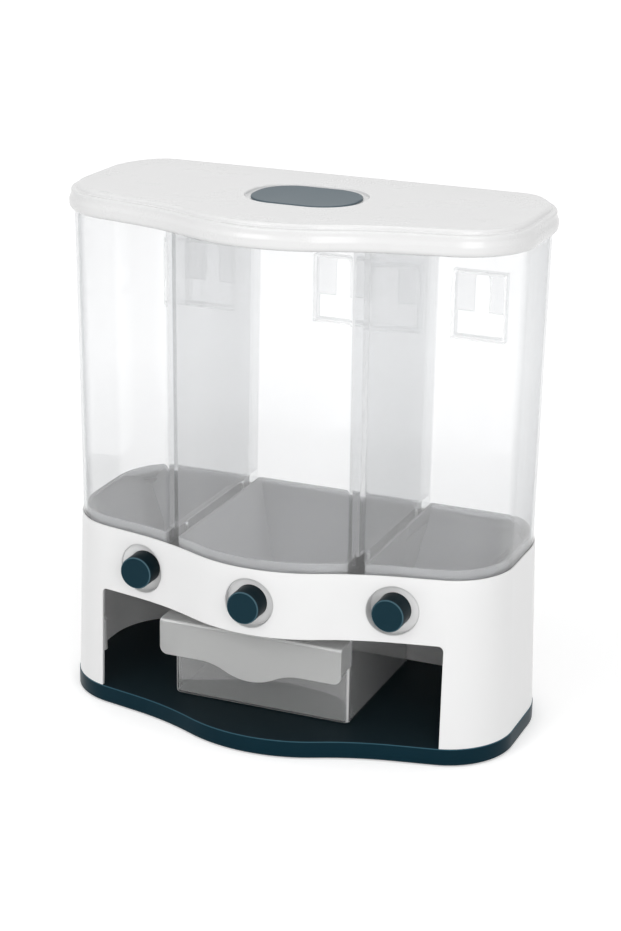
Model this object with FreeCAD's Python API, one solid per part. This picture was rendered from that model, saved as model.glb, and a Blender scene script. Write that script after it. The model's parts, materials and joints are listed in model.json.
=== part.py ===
import FreeCAD, Part
import math
import os

# Three-compartment dry food dispenser: a clear bin on a wavy housing, with push buttons that
# slide a gate under each compartment, and a catch cup in the bay below.
# Millimetres. Up is +Z and the front faces -Y. While the pieces are made, the middle of the
# base plate's depth is at Y 0; on the way out they move to the middle of the whole depth.

# Plan of the base plate: a bow in the middle, a dip each side of it, round ends
half_width = 175.0
depth = 182.0
bow_radius = 115.0
bow_angle = 26.0
dip_radius = 232.0
slant_angle = 12.0
front_corner_radius = 53.0
side_sweep_radius = 64.0
side_sweep_angle = 43.5
back_corner_radius = 28.0

# Rubber feet
foot_stand = 1.0
foot_radius = 8.0
foot_pocket_depth = 2.0
foot_pocket_gap = 0.2
front_foot_x = 140.0
front_foot_y = -20.0
back_foot_x = 130.0
back_foot_y = 62.0

# Base plate
plate_height = 13.0
plate_skin = 3.0
plate_skirt = 2.4
plate_edge_round = 0.8
plate_rib = 1.6
plate_rib_height = 3.5
plate_rib_pitch = 70.0

# Housing
housing_wall = 2.8
housing_inset_low = 0.5
housing_inset_high = 4.2
housing_edge_round = 0.7
bay_half_width = 135.5
bay_height = 78.6
bay_corner = 4.0
bay_cut_depth = 11.2
bay_rim_round = 0.5
seat_depth = 5.5
ledge_thickness = 3.0
ledge_width = 5.4
lip_thickness = 0.9
lip_gap = 0.2
keel_thickness = 2.0
keel_gap = 0.3

# Buttons and the recesses round them
button_pitch = 99.0
button_radius = 12.25
button_proud = 7.0
button_bevel = 1.0
button_length = 24.0
button_wall = 2.0
button_face = 2.5
button_travel = 14.0
guide_gap = 0.25
guide_wall = 1.6
recess_radius = 18.25
recess_foot = 5.75
recess_head = 7.65
recess_floor_in = 8.8
recess_floor_wall = 2.5
recess_rim_wall = 2.0
recess_rim_round = 0.8

# Gate that each button slides
gate_thickness = 2.2
gate_lift = 0.2
gate_arm = 4.0
window_side_gap = 0.4
web_setback = 34.0
web_thickness = 5.0
web_half_width = 14.0
web_top_over_axis = 4.0
stem_radius = 5.0
stem_length = 9.0
gate_stop_gap = 0.3
screw_sink = 0.4
land_lead = 1.25
land_trail = 2.75

# Return spring
spring_radius = 4.0
spring_wire = 0.9
spring_turns = 8
spring_length = 30.0
spring_rise = 8.0
spring_end_gap = 0.1
spring_pin_radius = 2.4
spring_pin_length = 3.0
post_thickness = 3.0
post_over_spring = 0.5

# Outlets and the deck that roofs the bay
outlet_setback = 98.5
outlet_width = 40.0
outlet_length = 12.5
deck_drop = 1.0
deck_thickness = 2.4
deck_edge_gap = 0.3
deck_outlet_margin = 0.5
rail_gap = 0.25
rail_width = 1.5
rail_lip = 1.5
rail_lip_thickness = 1.2
rail_front = 44.0
rail_back = 24.5
stop_rib = 2.0

# Hopper tray between the housing and the bin
flange_thickness = 2.4
band_height = 9.6
band_wall = 1.8
band_gap = 0.25
funnel_wall = 2.4
funnel_edge_in = 8.0
funnel_side_in = 2.0
mouth_gap = 0.3
mouth_wall = 2.0
collar_height = 4.3

# Clear bin
bin_height = 247.6
bin_wall = 2.4
bin_inset_high = 2.1
divider_x = 71.5
divider_thickness = 10.0
divider_hollow = 5.0
divider_foot = 15.6
divider_drop = 6.0
divider_corner_round = 2.5

# Hanging sockets in the bin's back wall
socket_pitch = 110.0
socket_half_width = 19.0
socket_slot_half = 6.0
socket_depth = 6.0
socket_skin = 2.0
socket_bottom = 142.6
socket_entry = 18.0
socket_height = 52.0

# Lid
lid_overlap = 10.7
lid_gap = 0.3
lid_edge_wall = 0.5
lid_skirt_wall = 1.8
bead_proud = 1.4
bead_height = 10.7
bead_low_round = 3.7
bead_top_round = 1.6
shoulder_height = 14.8
shoulder_round = 1.8
shoulder_width = 4.0
crest_rise = 3.3
crest_round = 2.6
crest_draft = 0.3
crest_land = 1.0
crease_rise = 0.05
dish_width = 22.0
dish_fall = 1.1
panel_thickness = 2.4
rib_wall = 1.8
rib_drop = 6.8

# Sealing ring in the lid
gasket_height = 2.5
gasket_gap = 0.3

# Handle pad on the lid
pad_length = 79.0
pad_width = 62.0
pad_corner = 27.0
pad_y = 11.6
pad_thickness = 1.8
pad_round = 0.5
pad_dish_margin = 4.5
pad_dish_depth = 2.3
pad_peg_radius = 3.0
pad_peg_gap = 0.1
pad_peg_pitch = 48.0
pad_peg_length = 4.0

# Catch cup
cup_x = -8.5
cup_width = 141.5
cup_back_gap = 1.7
cup_length = 128.3
cup_top_room = 9.6
cup_lift = 0.3
cup_wall = 2.0
cup_corner = 5.0
cup_foot_round = 3.0
hood_width = 144.6
hood_reach = 21.7
hood_wall = 1.8
hood_fold = 3.5
hood_drop = 28.0
hood_corner = 6.0
tongue_drop = 10.0
tongue_half_width = 40.0
cheek_drop = 20.5
cup_edge_round = 0.5

# Screws
screw_radius = 1.5
screw_head_radius = 2.9
screw_head = 2.2
screw_hole_gap = 0.2
screw_tap_gap = 0.05
screw_arm = 1.75
screw_slot_depth = 1.1
screw_slot = 0.8
screw_bite = 11.0
tip_room = 1.0
boss_floor = 1.0
boss_radius = 4.6
bin_screw_front_y = -40.0
bin_screw_back_y = 60.0
bin_boss_height = 8.0
driver_half_width = 5.5
deck_screw_front_y = -52.0
deck_screw_back_y = 74.0
deck_boss_height = 12.0
base_boss_height = 26.0
base_screw_wall_gap = 3.5
base_front_turn = -35.0
base_back_y = 8.0

# Levels
plate_bottom = foot_stand
plate_top = plate_bottom + plate_height
bay_top = plate_top + bay_height
axis_z = bay_top + recess_foot + recess_radius
housing_top = axis_z + recess_radius + recess_head
housing_height = housing_top - plate_top
cup_height = bay_height - cup_lift - cup_top_room
seat_z = housing_top - seat_depth
ledge_bottom = seat_z - ledge_thickness
bin_bottom = seat_z + flange_thickness
band_top = bin_bottom + band_height
hollow_bottom = bin_bottom + divider_foot
bin_top = bin_bottom + bin_height
divider_top = bin_top - divider_drop
lid_edge = bin_top - lid_overlap
deck_bottom = bay_top + deck_drop
deck_top = deck_bottom + deck_thickness
gate_bottom = deck_top + gate_lift
gate_top = gate_bottom + gate_thickness
mouth_z = gate_top + mouth_gap
funnel_z = mouth_z + collar_height
spring_z = deck_top + spring_rise
shoulder_z = lid_edge + shoulder_height
crest_z = shoulder_z + crest_rise
panel_z = crest_z - dish_fall
lid_inner_z = panel_z - panel_thickness
gasket_top = bin_top + gasket_gap + gasket_height

# Distances in from the base outline
seat_inset = housing_inset_high + lip_thickness
bin_inset_low = seat_inset + lip_gap
ledge_inset = seat_inset + ledge_width
lid_inner = bin_inset_high - lid_gap
lid_skirt_out = lid_skirt_wall - lid_inner
bead_out = lid_skirt_out + bead_proud
rib_inset = bin_inset_high + bin_wall + 2.0 * gasket_gap
window_half = outlet_width / 2.0 + window_side_gap
gate_half = window_half + gate_arm
divider_half = divider_thickness / 2.0
keel_half = keel_thickness / 2.0

# The whole depth runs from the middle button's face to the back of the lid's bead
front_reach = depth / 2.0 + button_proud
back_reach = depth / 2.0 + bead_out
place_y = (front_reach - back_reach) / 2.0
low_z = -50.0
high_z = 600.0
far = 400.0

# How far pieces that join run into each other, and how far a cutting shape runs past a face
join = 0.5
past = 1.0
hair = 0.01


def vec(x, y, z):
    return FreeCAD.Vector(x, y, z)


def half_plan(out=0.0):
    """Right half of the plan, from the front middle to the back, grown outwards by out."""
    bow = math.radians(bow_angle)
    slant = math.radians(slant_angle)
    sweep = math.radians(side_sweep_angle)
    bow_x = bow_radius * math.sin(bow)
    dip_x = dip_radius * (math.sin(bow) - math.sin(slant))
    corner_x = front_corner_radius * (1.0 - math.sin(slant))
    front_line = (half_width - bow_x - dip_x - corner_x) / math.cos(slant)
    rise = bow_radius * (1.0 - math.cos(bow)) + dip_radius * (math.cos(slant) - math.cos(bow))
    rise += front_line * math.sin(slant) + front_corner_radius * math.cos(slant)
    rise += side_sweep_radius * math.sin(sweep) + back_corner_radius * (1.0 - math.sin(sweep))
    side_line = depth - rise
    turns = [(bow_radius + out, bow), (-(dip_radius - out), bow - slant), (0.0, front_line),
             (front_corner_radius + out, math.pi / 2.0 - slant), (0.0, side_line),
             (side_sweep_radius + out, sweep), (back_corner_radius + out, math.pi / 2.0 - sweep)]
    x, y, heading = 0.0, -depth / 2.0 - out, 0.0
    pieces = []
    for radius, amount in turns:
        if radius == 0.0:
            end = (x + amount * math.cos(heading), y + amount * math.sin(heading))
            pieces.append(((x, y), None, end, None))
            x, y = end
            continue
        side = 1.0 if radius > 0.0 else -1.0
        size = abs(radius)
        centre = (x - side * size * math.sin(heading), y + side * size * math.cos(heading))
        marks = []
        for share in (0.5, 1.0):
            turned = heading + side * amount * share
            marks.append((centre[0] + side * size * math.sin(turned),
                          centre[1] - side * size * math.cos(turned)))
        pieces.append(((x, y), marks[0], marks[1], (centre, size, side)))
        x, y = marks[1]
        heading += side * amount
    return pieces


def front_y(x, out=0.0):
    """Y of the plan's front edge at a place across the width."""
    for start, middle, end, bend in half_plan(out):
        if start[0] <= abs(x) <= end[0]:
            if bend is None:
                share = (abs(x) - start[0]) / (end[0] - start[0])
                return start[1] + share * (end[1] - start[1])
            centre, size, side = bend
            return centre[1] - side * math.sqrt(size ** 2 - (abs(x) - centre[0]) ** 2)
    return 0.0


def edge(start, middle, end, z):
    if middle is None:
        return Part.makeLine(vec(start[0], start[1], z), vec(end[0], end[1], z))
    return Part.Arc(vec(start[0], start[1], z), vec(middle[0], middle[1], z),
                    vec(end[0], end[1], z)).toShape()


def mirrored(point):
    return None if point is None else (-point[0], point[1])


def ring(out, z):
    """Closed outline at a height, grown outwards by out."""
    pieces = half_plan(out)
    edges = [edge(start, middle, end, z) for start, middle, end, bend in pieces]
    back = pieces[-1][2]
    edges.append(edge(back, None, mirrored(back), z))
    for start, middle, end, bend in reversed(pieces):
        edges.append(edge(mirrored(end), mirrored(middle), mirrored(start), z))
    return Part.Wire(edges)


def prism(out, z0, z1):
    return Part.Face(ring(out, z0)).extrude(vec(0, 0, z1 - z0))


def taper(levels):
    """Solid through rings given as (out, z), from the lowest up."""
    return Part.makeLoft([ring(out, z) for out, z in levels], True, True)


def box(x0, x1, y0, y1, z0, z1):
    return Part.makeBox(x1 - x0, y1 - y0, z1 - z0, vec(x0, y0, z0))


def upright(x, y, z0, z1, radius):
    return Part.makeCylinder(radius, z1 - z0, vec(x, y, z0), vec(0, 0, 1))


def along_y(x, z, y0, y1, radius):
    return Part.makeCylinder(radius, y1 - y0, vec(x, y0, z), vec(0, 1, 0))


def fuse(shapes):
    return shapes[0].multiFuse(shapes[1:]).removeSplitter()


def cut(shape, tools):
    return shape.cut(Part.Compound(tools))


def edges_along(shape, direction):
    return [e for e in shape.Edges if e.tangentAt(e.FirstParameter).cross(direction).Length < hair]


def rounded_box(x0, x1, y0, y1, z0, z1, radius):
    """Box whose upright edges are rounded."""
    block = box(x0, x1, y0, y1, z0, z1)
    return block.makeFillet(radius, edges_along(block, vec(0, 0, 1)))


def quarter(out0, z0, out1, z1, rise_first, steps=4):
    """Points after the first one on a quarter round between two (out, z) places."""
    points = []
    for step in range(1, steps + 1):
        turn = math.pi / 2.0 * step / steps
        a, b = (1.0 - math.cos(turn)), math.sin(turn)
        if not rise_first:
            a, b = b, a
        points.append((out0 + (out1 - out0) * a, z0 + (z1 - z0) * b))
    return points


def screw(length):
    """Pan head screw, its head below Z 0 and its shank along +Z."""
    head = Part.makeCylinder(screw_head_radius, screw_head, vec(0, 0, -screw_head))
    shank = Part.makeCylinder(screw_radius, length)
    half = screw_slot / 2.0
    deep = screw_slot_depth - screw_head
    slots = [box(-screw_arm, screw_arm, -half, half, -screw_head - past, deep),
             box(-half, half, -screw_arm, screw_arm, -screw_head - past, deep)]
    return cut(fuse([head, shank]), slots)


def screws(places, seat, length):
    made = []
    for x, y in places:
        one = screw(length)
        one.translate(vec(x, y, seat))
        made.append(one)
    return Part.Compound(made)


def housing_out(z):
    """How far out the housing's skin lies at a height."""
    share = (z - plate_top) / housing_height
    return -housing_inset_low - (housing_inset_high - housing_inset_low) * share


def bin_out(z):
    share = (z - bin_bottom) / bin_height
    return -bin_inset_low + (bin_inset_low - bin_inset_high) * share


def unit_x(side):
    return side * button_pitch


def unit_face(side):
    """Y of a button's face when nobody presses it."""
    return front_y(unit_x(side)) - button_proud


def recess_floor(side):
    return front_y(unit_x(side)) + recess_floor_in


def outlet_y(side):
    return unit_face(side) + outlet_setback


def web_front(side):
    return unit_face(side) + web_setback


def post_front(side):
    return web_front(side) + web_thickness + spring_length


sides = (("left", -1), ("centre", 0), ("right", 1))

foot_places = [(x, y) for y, reach in ((front_foot_y, front_foot_x), (back_foot_y, back_foot_x))
               for x in (-reach, reach)]
bin_screw_places = [(x, y) for x in (-divider_x, divider_x)
                    for y in (bin_screw_front_y, bin_screw_back_y)]
deck_screw_places = [(x, y) for x in (-divider_x, divider_x)
                     for y in (deck_screw_front_y, deck_screw_back_y)]


def base_screw_places():
    """Two in the front corners and two at the sides, close inside the housing's wall."""
    inset = housing_inset_low + housing_wall + base_screw_wall_gap
    corner = half_plan(-inset)[3][3]
    turn = math.radians(base_front_turn)
    front = (corner[0][0] + corner[1] * math.cos(turn), corner[0][1] + corner[1] * math.sin(turn))
    back = (half_width - inset, base_back_y)
    return [(side * x, y) for x, y in (front, back) for side in (-1, 1)]


def rubber_feet():
    top = foot_stand + foot_pocket_depth
    return Part.Compound([upright(x, y, 0.0, top, foot_radius) for x, y in foot_places])


def base_plate():
    edge_round = plate_edge_round
    levels = [(-edge_round, plate_bottom), (0.0, plate_bottom + edge_round)]
    levels.append((0.0, plate_top - edge_round))
    levels += quarter(0.0, plate_top - edge_round, -edge_round, plate_top, True)
    plate = taper(levels)
    roof = plate_top - plate_skin
    plate = plate.cut(prism(-plate_skirt, low_z, roof))
    inside = prism(-plate_skirt + join, plate_bottom, roof + join)
    ribs = []
    for step in (-2, -1, 0, 1, 2):
        x = step * plate_rib_pitch
        ribs.append(box(x - plate_rib / 2.0, x + plate_rib / 2.0, -depth, depth,
                        roof - plate_rib_height, roof + join))
    columns = [upright(x, y, plate_bottom, roof + join, foot_radius + plate_skirt)
               for x, y in foot_places]
    plate = fuse([plate, Part.Compound(ribs + columns).common(inside)])
    pocket = foot_radius + foot_pocket_gap
    holes = [upright(x, y, low_z, plate_bottom + foot_pocket_depth, pocket)
             for x, y in foot_places]
    for x, y in base_screw_places():
        holes.append(upright(x, y, roof - screw_head - past, roof, screw_head_radius + screw_hole_gap))
        holes.append(upright(x, y, roof - past, plate_top + past, screw_radius + screw_hole_gap))
    return cut(plate, holes)


def keel(side):
    """Upright wall inside the housing under a divider, with its screw bosses."""
    x = side * divider_x
    wall = box(x - keel_half, x + keel_half, -depth, depth, deck_top + keel_gap, seat_z)
    driver = [box(x - far, x + far, y - driver_half_width, y + driver_half_width, low_z,
                  seat_z - bin_boss_height) for px, y in bin_screw_places if px == x]
    parts = [cut(wall, driver)]
    for px, y in bin_screw_places:
        if px == x:
            parts.append(upright(x, y, seat_z - bin_boss_height, seat_z, boss_radius))
    for px, y in deck_screw_places:
        if px == x:
            parts.append(upright(x, y, deck_top, deck_top + deck_boss_height, boss_radius))
    return fuse(parts)


def on_skin(point):
    """True on the outside of the housing's front."""
    return abs(point.x) <= bay_half_width + hair and point.y < 0.0 and abs(
        point.y - front_y(point.x, housing_out(point.z))) < 2.0 * hair


def on_recess(point):
    """True on the rim of a button's recess."""
    return min(abs(math.hypot(point.x - unit_x(side), point.z - axis_z) - recess_radius)
               for name, side in sides) < hair


def on_bay(point):
    """True on the outline of the bay's opening."""
    over = point.z - (bay_top - bay_corner)
    beside = abs(point.x) - (bay_half_width - bay_corner)
    if over > 0.0 and beside > 0.0:
        return abs(math.hypot(over, beside) - bay_corner) < hair
    return abs(max(over, beside) - bay_corner) < hair


def housing():
    top = housing_top - housing_edge_round
    levels = [(housing_out(plate_top), plate_top), (housing_out(top), top)]
    lip_out = housing_out(top) - housing_edge_round
    levels += quarter(housing_out(top), top, lip_out, housing_top, True, 3)
    skin = taper(levels)
    hollow_low = plate_top - past
    hollow = taper([(housing_out(hollow_low) - housing_wall, hollow_low),
                    (housing_out(ledge_bottom) - housing_wall, ledge_bottom)])
    shell = cut(skin, [hollow, prism(-ledge_inset, ledge_bottom - past, seat_z + past),
                       prism(-seat_inset, seat_z, high_z)])
    inside = [keel(-1), keel(1)]
    for x, y in base_screw_places():
        inside.append(upright(x, y, plate_top, plate_top + base_boss_height, boss_radius))
    bores = []
    for name, side in sides:
        x, floor = unit_x(side), recess_floor(side)
        back = floor + recess_floor_wall
        inside.append(along_y(x, axis_z, floor - far, back, recess_radius + recess_rim_wall))
        tube_end = web_front(side) - gate_stop_gap
        tube = button_radius + guide_gap
        inside.append(along_y(x, axis_z, floor, tube_end, tube + guide_wall))
        bores.append(along_y(x, axis_z, -far, floor, recess_radius))
        bores.append(along_y(x, axis_z, floor - past, tube_end + past, tube))
    core = Part.Compound(inside).common(skin)
    room = prism(-seat_inset, seat_z, high_z)
    body = cut(fuse([shell, core]), [room])
    bay = box(-bay_half_width, bay_half_width, -far, front_y(bay_half_width) + bay_cut_depth,
              low_z, bay_top)
    corners = [e for e in edges_along(bay, vec(0, 1, 0)) if e.BoundBox.ZMin > plate_top]
    bores.append(bay.makeFillet(bay_corner, corners))
    tap = screw_radius + screw_tap_gap
    for x, y in bin_screw_places:
        bores.append(upright(x, y, ledge_bottom - far, seat_z + past, screw_radius + screw_hole_gap)
                     .common(box(-far, far, -far, far, seat_z - bin_boss_height - past, high_z)))
    for x, y in deck_screw_places:
        bores.append(upright(x, y, deck_top - past, deck_top + deck_boss_height - boss_floor, tap))
    for x, y in base_screw_places():
        bores.append(upright(x, y, plate_top - past, plate_top + base_boss_height - boss_floor, tap))
    body = cut(body, bores).removeSplitter()
    for size, on_rim in ((recess_rim_round, on_recess), (bay_rim_round, on_bay)):
        rims = []
        for e in body.Edges:
            points = e.discretize(5)
            if all(on_skin(p) and on_rim(p) for p in points):
                rims.append(e)
        body = body.makeFillet(size, rims)
    return body


def outlet_deck():
    out = housing_out(deck_top) - housing_wall - deck_edge_gap
    deck = prism(out, deck_bottom, deck_top)
    parts = [deck]
    holes = []
    for name, side in sides:
        x, y = unit_x(side), outlet_y(side)
        half = outlet_width / 2.0 + deck_outlet_margin
        reach = outlet_length / 2.0 + deck_outlet_margin
        holes.append(box(x - half, x + half, y - reach, y + reach, deck_bottom - past, deck_top + past))
        inner = gate_half + rail_gap
        lip_z = gate_top + rail_gap
        for turn in (-1, 1):
            near, far_side = sorted((x + turn * inner, x + turn * (inner + rail_width)))
            parts.append(box(near, far_side, y - rail_front, y + rail_back, deck_top - join,
                             lip_z + rail_lip_thickness))
            near, far_side = sorted((x + turn * (inner - rail_lip), x + turn * (inner + rail_width)))
            parts.append(box(near, far_side, y - rail_front, y + rail_back, lip_z,
                             lip_z + rail_lip_thickness))
        stop = y + outlet_length / 2.0 + land_trail + button_travel + gate_stop_gap
        parts.append(box(x - gate_half, x + gate_half, stop, stop + stop_rib, deck_top - join,
                         gate_top))
        post = post_front(side)
        parts.append(box(x - spring_radius, x + spring_radius, post, post + post_thickness,
                         deck_top - join, spring_z + spring_radius + post_over_spring))
        parts.append(along_y(x, spring_z, post - spring_pin_length, post + join,
                             spring_pin_radius))
    for x, y in deck_screw_places:
        holes.append(upright(x, y, deck_bottom - past, deck_top + past,
                             screw_radius + screw_hole_gap))
    return cut(fuse(parts), holes)


def compartment(side, out, z0, z1, gap):
    """Plan of one compartment between two heights, a gap inside its walls and its round corners."""
    if side == 0:
        reach = divider_x - divider_half - gap
        room = box(-reach, reach, -far, far, z0, z1)
    else:
        reach = divider_x + divider_half + gap
        room = box(*sorted((side * reach, side * far)), -far, far, z0, z1)
    block = prism(out, z0, z1).common(room)
    radius = divider_corner_round - gap
    if radius < hair:
        return block
    corners = [e for e in edges_along(block, vec(0, 0, 1)) if abs(abs(e.Vertexes[0].X) - reach) < hair]
    return block.makeFillet(radius, corners)


def rectangle(x0, x1, y0, y1, z):
    corners = [vec(x0, y0, z), vec(x1, y0, z), vec(x1, y1, z), vec(x0, y1, z)]
    return Part.makePolygon(corners + corners[:1])


def funnel(side, grown):
    """Four sloping walls from the outlet's mouth to the band, grown outwards by a wall."""
    x, y = unit_x(side), outlet_y(side)
    half, reach = outlet_width / 2.0, outlet_length / 2.0
    low = [x - half, x + half, y - reach, y + reach]
    wide = half_width - funnel_edge_in
    inner = divider_x - divider_half - funnel_side_in
    front = front_y(max(abs(x) - half, 0.0)) + funnel_edge_in
    spans = {-1: (-wide, low[1]), 0: (-inner, inner), 1: (low[0], wide)}
    high = list(spans[side]) + [front, depth / 2.0 - funnel_edge_in]
    rise = band_top - funnel_z
    if grown:
        for k, sign in enumerate((-1, 1, -1, 1)):
            push = sign * grown * math.hypot(high[k] - low[k], rise) / rise
            low[k] += push
            high[k] += push
    return Part.makeLoft([rectangle(*low, funnel_z), rectangle(*high, band_top)], True, True)


def hopper_tray():
    clip = ledge_inset + deck_edge_gap
    bin_inner = bin_inset_low + bin_wall
    parts = [prism(-bin_inset_low, seat_z, bin_bottom)]
    hollows = []
    for name, side in sides:
        x, y = unit_x(side), outlet_y(side)
        half, reach = outlet_width / 2.0, outlet_length / 2.0
        outer = funnel(side, funnel_wall)
        parts.append(outer.common(compartment(side, -clip, funnel_z, seat_z + join, band_gap)))
        band = compartment(side, -bin_inner - band_gap, bin_bottom - join, band_top, band_gap)
        hole = compartment(side, -bin_inner - band_gap - band_wall, seat_z - join, band_top + past,
                           band_gap + band_wall)
        parts.append(band.cut(hole))
        parts.append(outer.common(compartment(side, -bin_inner - band_gap, bin_bottom - join,
                                              band_top, band_gap)))
        parts.append(box(x - half - mouth_wall, x + half + mouth_wall, y - reach - mouth_wall,
                         y + reach + mouth_wall, mouth_z, funnel_z + join))
        inner = funnel(side, 0.0)
        low_room = compartment(side, -clip - band_wall, low_z, bin_bottom, band_gap + band_wall)
        high_room = compartment(side, -bin_inner - band_gap - band_wall, bin_bottom, high_z,
                                band_gap + band_wall)
        hollows += [inner.common(low_room), inner.common(high_room)]
        hollows.append(box(x - half, x + half, y - reach, y + reach, low_z, funnel_z + join))
    for x, y in bin_screw_places:
        hollows.append(upright(x, y, seat_z - past, bin_bottom + past, screw_radius + screw_hole_gap))
    return cut(fuse(parts), hollows).removeSplitter()


def clear_bin():
    outer = taper([(-bin_inset_low, bin_bottom), (-bin_inset_high, bin_top)])
    floor, above = bin_bottom - past, bin_top + past
    room = taper([(bin_out(floor) - bin_wall, floor), (bin_out(above) - bin_wall, above)])
    near, far_side = divider_x - divider_half, divider_x + divider_half
    open_top = box(-far, far, -far, far, divider_top, high_z)
    middle = box(-near, near, -far, far, low_z, high_z)
    ends = [box(*sorted((side * far_side, side * far)), -far, far, low_z, high_z)
            for side in (-1, 1)]
    half = divider_hollow / 2.0
    slots = [box(x - half, x + half, -far, far, hollow_bottom, high_z)
             for x in (-divider_x, divider_x)]
    space = room.common(fuse([open_top, middle] + ends + slots))
    body = outer.cut(space)
    corners = []
    for e in body.Edges:
        low_end, high_end = sorted((e.valueAt(e.FirstParameter), e.valueAt(e.LastParameter)),
                                   key=lambda p: p.z)
        on_face = min(abs(abs(low_end.x) - x) for x in (near, far_side)) < hair
        if on_face and abs(low_end.z - bin_bottom) < hair and abs(high_end.z - divider_top) < hair:
            corners.append(e)
    body = body.makeFillet(divider_corner_round, corners)
    wall_y = depth / 2.0 + bin_out(bin_bottom + socket_bottom + socket_height / 2.0)
    low = bin_bottom + socket_bottom
    high = low + socket_height
    blocks, caves = [], []
    for step in (-1, 0, 1):
        x = step * socket_pitch
        wide = socket_half_width + socket_skin
        inner = wall_y - bin_wall - socket_depth
        blocks.append(box(x - wide, x + wide, inner - socket_skin, depth, low, high))
        caves.append(box(x - socket_half_width, x + socket_half_width, inner,
                         wall_y - bin_wall, low + socket_skin, high - socket_skin))
        caves.append(box(x - socket_half_width, x + socket_half_width, inner, depth,
                         low + socket_skin, low + socket_skin + socket_entry))
        caves.append(box(x - socket_slot_half, x + socket_slot_half, inner, depth,
                         low + socket_skin, high - socket_skin - socket_slot_half))
        caves.append(along_y(x, high - socket_skin - socket_slot_half, inner, depth,
                             socket_slot_half))
    body = fuse([body, Part.Compound(blocks).common(outer)])
    taps = [upright(x, y, floor, bin_bottom + screw_bite + tip_room, screw_radius + screw_tap_gap)
            for x, y in bin_screw_places]
    return cut(body, caves + taps)


def pad_plan(grown, z0, z1):
    half_x, half_y = pad_length / 2.0 + grown, pad_width / 2.0 + grown
    return rounded_box(-half_x, half_x, pad_y - half_y, pad_y + half_y, z0, z1,
                       pad_corner + grown)


def peg_places():
    return [(side * pad_peg_pitch / 2.0, pad_y) for side in (-1, 1)]


def lid():
    edge_out = lid_edge_wall - lid_inner
    bead_top = lid_edge + bead_height
    lower = lid_edge + bead_low_round
    upper = bead_top - bead_top_round
    levels = [(edge_out, lid_edge)]
    levels += quarter(edge_out, lid_edge, bead_out, lower, False)
    levels.append((bead_out, upper))
    levels += quarter(bead_out, upper, lid_skirt_out, bead_top, True)
    levels.append((lid_skirt_out, shoulder_z - shoulder_round))
    ledge_out = lid_skirt_out - shoulder_round
    levels += quarter(lid_skirt_out, shoulder_z - shoulder_round, ledge_out, shoulder_z, True)
    foot_out = lid_skirt_out - shoulder_width
    levels.append((foot_out, shoulder_z + crease_rise))
    face_out = foot_out - crest_draft
    crest_out = face_out - crest_round
    levels.append((face_out, crest_z - crest_round))
    levels += quarter(face_out, crest_z - crest_round, crest_out, crest_z, True)
    body = taper(levels)
    dish = taper([(crest_out - dish_width + crest_round, panel_z), (crest_out - crest_land, crest_z),
                  (crest_out, crest_z + past)])
    body = cut(body, [dish, prism(-lid_inner, low_z, gasket_top)])
    rib = prism(-rib_inset, gasket_top - rib_drop, gasket_top + join)
    inside = -rib_inset - rib_wall
    body = fuse([body, rib]).cut(prism(inside, low_z, lid_inner_z))
    dish_floor = panel_z - pad_dish_depth
    pan = pad_plan(pad_dish_margin + panel_thickness, dish_floor - panel_thickness,
                   lid_inner_z + join)
    hollow = pad_plan(pad_dish_margin, dish_floor, high_z)
    pegs = [upright(x, y, low_z, high_z, pad_peg_radius + pad_peg_gap) for x, y in peg_places()]
    return cut(fuse([body, pan]), [hollow] + pegs)


def lid_gasket():
    bottom = gasket_top - gasket_height
    outer = prism(-lid_inner - gasket_gap, bottom, gasket_top)
    return outer.cut(prism(-rib_inset + gasket_gap, low_z, high_z))


def lid_handle():
    floor = panel_z - pad_dish_depth
    pad = pad_plan(0.0, floor, floor + pad_thickness)
    rim = [e for e in pad.Edges if e.BoundBox.ZMin > floor + pad_thickness - hair]
    pad = pad.makeFillet(pad_round, rim)
    pegs = [upright(x, y, floor - pad_peg_length, floor + join, pad_peg_radius)
            for x, y in peg_places()]
    return fuse([pad] + pegs)


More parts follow.
